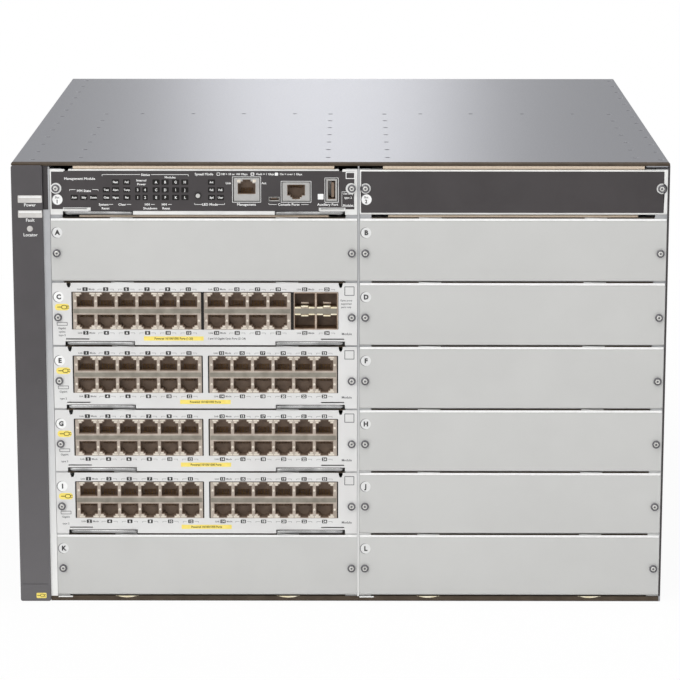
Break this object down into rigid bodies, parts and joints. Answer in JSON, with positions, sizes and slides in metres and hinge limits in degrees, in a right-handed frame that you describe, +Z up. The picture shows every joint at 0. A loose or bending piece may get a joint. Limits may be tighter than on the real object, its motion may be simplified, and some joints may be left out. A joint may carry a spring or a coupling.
{
  "type": "modular chassis switch",
  "caption": "Rack-mounted modular network switch: steel chassis with two columns of card slots, status bezel, slide-in port modules, rear fan tray and power supplies",
  "frame": {"origin": "middle of the footprint of the whole unit, handles and screw heads included, at the height of its underside", "axes": "+X to the right seen from the front, +Y from the front to the back, +Z up; the front with the card slots faces -Y"},
  "size_m": [0.4444, 0.4748, 0.3073],
  "materials": {
    "cover_steel": "satin zinc-coated steel with a fine grain",
    "bare_steel": "bright bare steel",
    "blank_grey": "light grey paint, satin",
    "module_white": "near-white paint, satin",
    "charcoal_metal": "charcoal paint, satin",
    "charcoal_plastic": "moulded plastic, fine texture",
    "clear_lens": "smoked clear plastic",
    "lever_steel": "polished nickel plate",
    "screw_steel": "nickel-plated screws",
    "jack_shield": "tin-plated shield over black plastic",
    "cage_steel": "spring-fingered cage, warm tint",
    "board_green": "solder-mask green",
    "gasket_cloth": "conductive cloth over foam",
    "fan_black": "black moulded plastic",
    "button_grey": "grey moulded plastic"
  },
  "bodies": {
    "chassis": {"outer_shell": "cover_steel", "top_cover": "cover_steel", "front_bezel": "charcoal_plastic", "status_lenses": "clear_lens", "left_bay_wall": "bare_steel", "centre_wall": "bare_steel", "mounting_rails": "bare_steel", "slot_shelves": "bare_steel", "midplane_frame": "bare_steel", "midplane_board": "board_green", "power_cage": "bare_steel", "rear_frame": "bare_steel", "shield_gaskets": "gasket_cloth", "mm_slot_cover": "charcoal_metal", "slot_covers": "blank_grey", "cover_screws": "screw_steel"},
    "management_module": {"mm_tray": "charcoal_metal", "mm_board": "board_green", "mm_sockets": "jack_shield", "mm_screws": "screw_steel"},
    "module_c": {"c_tray": "module_white", "c_board": "board_green", "c_jacks": "jack_shield", "c_sfp_cage": "cage_steel", "c_screws": "screw_steel"},
    "module_e": {"e_tray": "module_white", "e_board": "board_green", "e_jacks": "jack_shield", "e_screws": "screw_steel"},
    "module_g": {"g_tray": "module_white", "g_board": "board_green", "g_jacks": "jack_shield", "g_screws": "screw_steel"},
    "module_i": {"i_tray": "module_white", "i_board": "board_green", "i_jacks": "jack_shield", "i_screws": "screw_steel"},
    "mm_lever_left": {"mm_lever_left": "lever_steel"},
    "mm_lever_right": {"mm_lever_right": "lever_steel"},
    "c_lever_left": {"c_lever_left": "lever_steel"},
    "c_lever_right": {"c_lever_right": "lever_steel"},
    "e_lever_left": {"e_lever_left": "lever_steel"},
    "e_lever_right": {"e_lever_right": "lever_steel"},
    "g_lever_left": {"g_lever_left": "lever_steel"},
    "g_lever_right": {"g_lever_right": "lever_steel"},
    "i_lever_left": {"i_lever_left": "lever_steel"},
    "i_lever_right": {"i_lever_right": "lever_steel"},
    "mm_mode_button": {"mm_mode_button": "button_grey"},
    "fan_tray": {"fan_tray": "bare_steel", "fan_frames": "fan_black"},
    "fan_rotor_1": {"fan_rotor_1": "fan_black"},
    "fan_rotor_2": {"fan_rotor_2": "fan_black"},
    "fan_rotor_3": {"fan_rotor_3": "fan_black"},
    "psu_1": {"psu_1": "bare_steel"},
    "psu_2": {"psu_2": "bare_steel"},
    "psu_3": {"psu_3": "bare_steel"},
    "psu_4": {"psu_4": "bare_steel"}
  },
  "joints": [
    {"name": "mm_slide", "type": "slide", "parent": "chassis", "child": "management_module", "axis": [0, -1, 0], "range_m": [0, 0.27]},
    {"name": "mm_lever_left_hinge", "type": "hinge", "parent": "management_module", "child": "mm_lever_left", "pos_m": [-0.18335, -0.232, 0.2736], "axis": [0, 0, -1], "range_deg": [0, 85]},
    {"name": "mm_lever_right_hinge", "type": "hinge", "parent": "management_module", "child": "mm_lever_right", "pos_m": [-0.0013, -0.232, 0.2736], "axis": [0, 0, 1], "range_deg": [0, 85]},
    {"name": "c_slide", "type": "slide", "parent": "chassis", "child": "module_c", "axis": [0, -1, 0], "range_m": [0, 0.27]},
    {"name": "c_lever_left_hinge", "type": "hinge", "parent": "module_c", "child": "c_lever_left", "pos_m": [-0.18335, -0.232, 0.1833], "axis": [0, 0, -1], "range_deg": [0, 85]},
    {"name": "c_lever_right_hinge", "type": "hinge", "parent": "module_c", "child": "c_lever_right", "pos_m": [-0.0013, -0.232, 0.1833], "axis": [0, 0, 1], "range_deg": [0, 85]},
    {"name": "e_slide", "type": "slide", "parent": "chassis", "child": "module_e", "axis": [0, -1, 0], "range_m": [0, 0.27]},
    {"name": "e_lever_left_hinge", "type": "hinge", "parent": "module_e", "child": "e_lever_left", "pos_m": [-0.18335, -0.232, 0.13885], "axis": [0, 0, -1], "range_deg": [0, 85]},
    {"name": "e_lever_right_hinge", "type": "hinge", "parent": "module_e", "child": "e_lever_right", "pos_m": [-0.0013, -0.232, 0.13885], "axis": [0, 0, 1], "range_deg": [0, 85]},
    {"name": "g_slide", "type": "slide", "parent": "chassis", "child": "module_g", "axis": [0, -1, 0], "range_m": [0, 0.27]},
    {"name": "g_lever_left_hinge", "type": "hinge", "parent": "module_g", "child": "g_lever_left", "pos_m": [-0.18335, -0.232, 0.0944], "axis": [0, 0, -1], "range_deg": [0, 85]},
    {"name": "g_lever_right_hinge", "type": "hinge", "parent": "module_g", "child": "g_lever_right", "pos_m": [-0.0013, -0.232, 0.0944], "axis": [0, 0, 1], "range_deg": [0, 85]},
    {"name": "i_slide", "type": "slide", "parent": "chassis", "child": "module_i", "axis": [0, -1, 0], "range_m": [0, 0.27]},
    {"name": "i_lever_left_hinge", "type": "hinge", "parent": "module_i", "child": "i_lever_left", "pos_m": [-0.18335, -0.232, 0.04995], "axis": [0, 0, -1], "range_deg": [0, 85]},
    {"name": "i_lever_right_hinge", "type": "hinge", "parent": "module_i", "child": "i_lever_right", "pos_m": [-0.0013, -0.232, 0.04995], "axis": [0, 0, 1], "range_deg": [0, 85]},
    {"name": "mode_button_press", "type": "slide", "parent": "management_module", "child": "mm_mode_button", "axis": [0, 1, 0], "range_m": [0, 0.0009], "stiffness_N_per_m": 400, "springref_m": -0.0005},
    {"name": "fan_tray_slide", "type": "slide", "parent": "chassis", "child": "fan_tray", "axis": [0, 1, 0], "range_m": [0, 0.21]},
    {"name": "fan_1_spin", "type": "hinge", "parent": "fan_tray", "child": "fan_rotor_1", "pos_m": [-0.13803, 0.1952, 0.2128], "axis": [0, 1, 0], "continuous": true},
    {"name": "fan_2_spin", "type": "hinge", "parent": "fan_tray", "child": "fan_rotor_2", "pos_m": [0, 0.1952, 0.2128], "axis": [0, 1, 0], "continuous": true},
    {"name": "fan_3_spin", "type": "hinge", "parent": "fan_tray", "child": "fan_rotor_3", "pos_m": [0.13803, 0.1952, 0.2128], "axis": [0, 1, 0], "continuous": true},
    {"name": "psu_1_slide", "type": "slide", "parent": "chassis", "child": "psu_1", "axis": [0, 1, 0], "range_m": [0, 0.21]},
    {"name": "psu_2_slide", "type": "slide", "parent": "chassis", "child": "psu_2", "axis": [0, 1, 0], "range_m": [0, 0.21]},
    {"name": "psu_3_slide", "type": "slide", "parent": "chassis", "child": "psu_3", "axis": [0, 1, 0], "range_m": [0, 0.21]},
    {"name": "psu_4_slide", "type": "slide", "parent": "chassis", "child": "psu_4", "axis": [0, 1, 0], "range_m": [0, 0.21]}
  ]
}
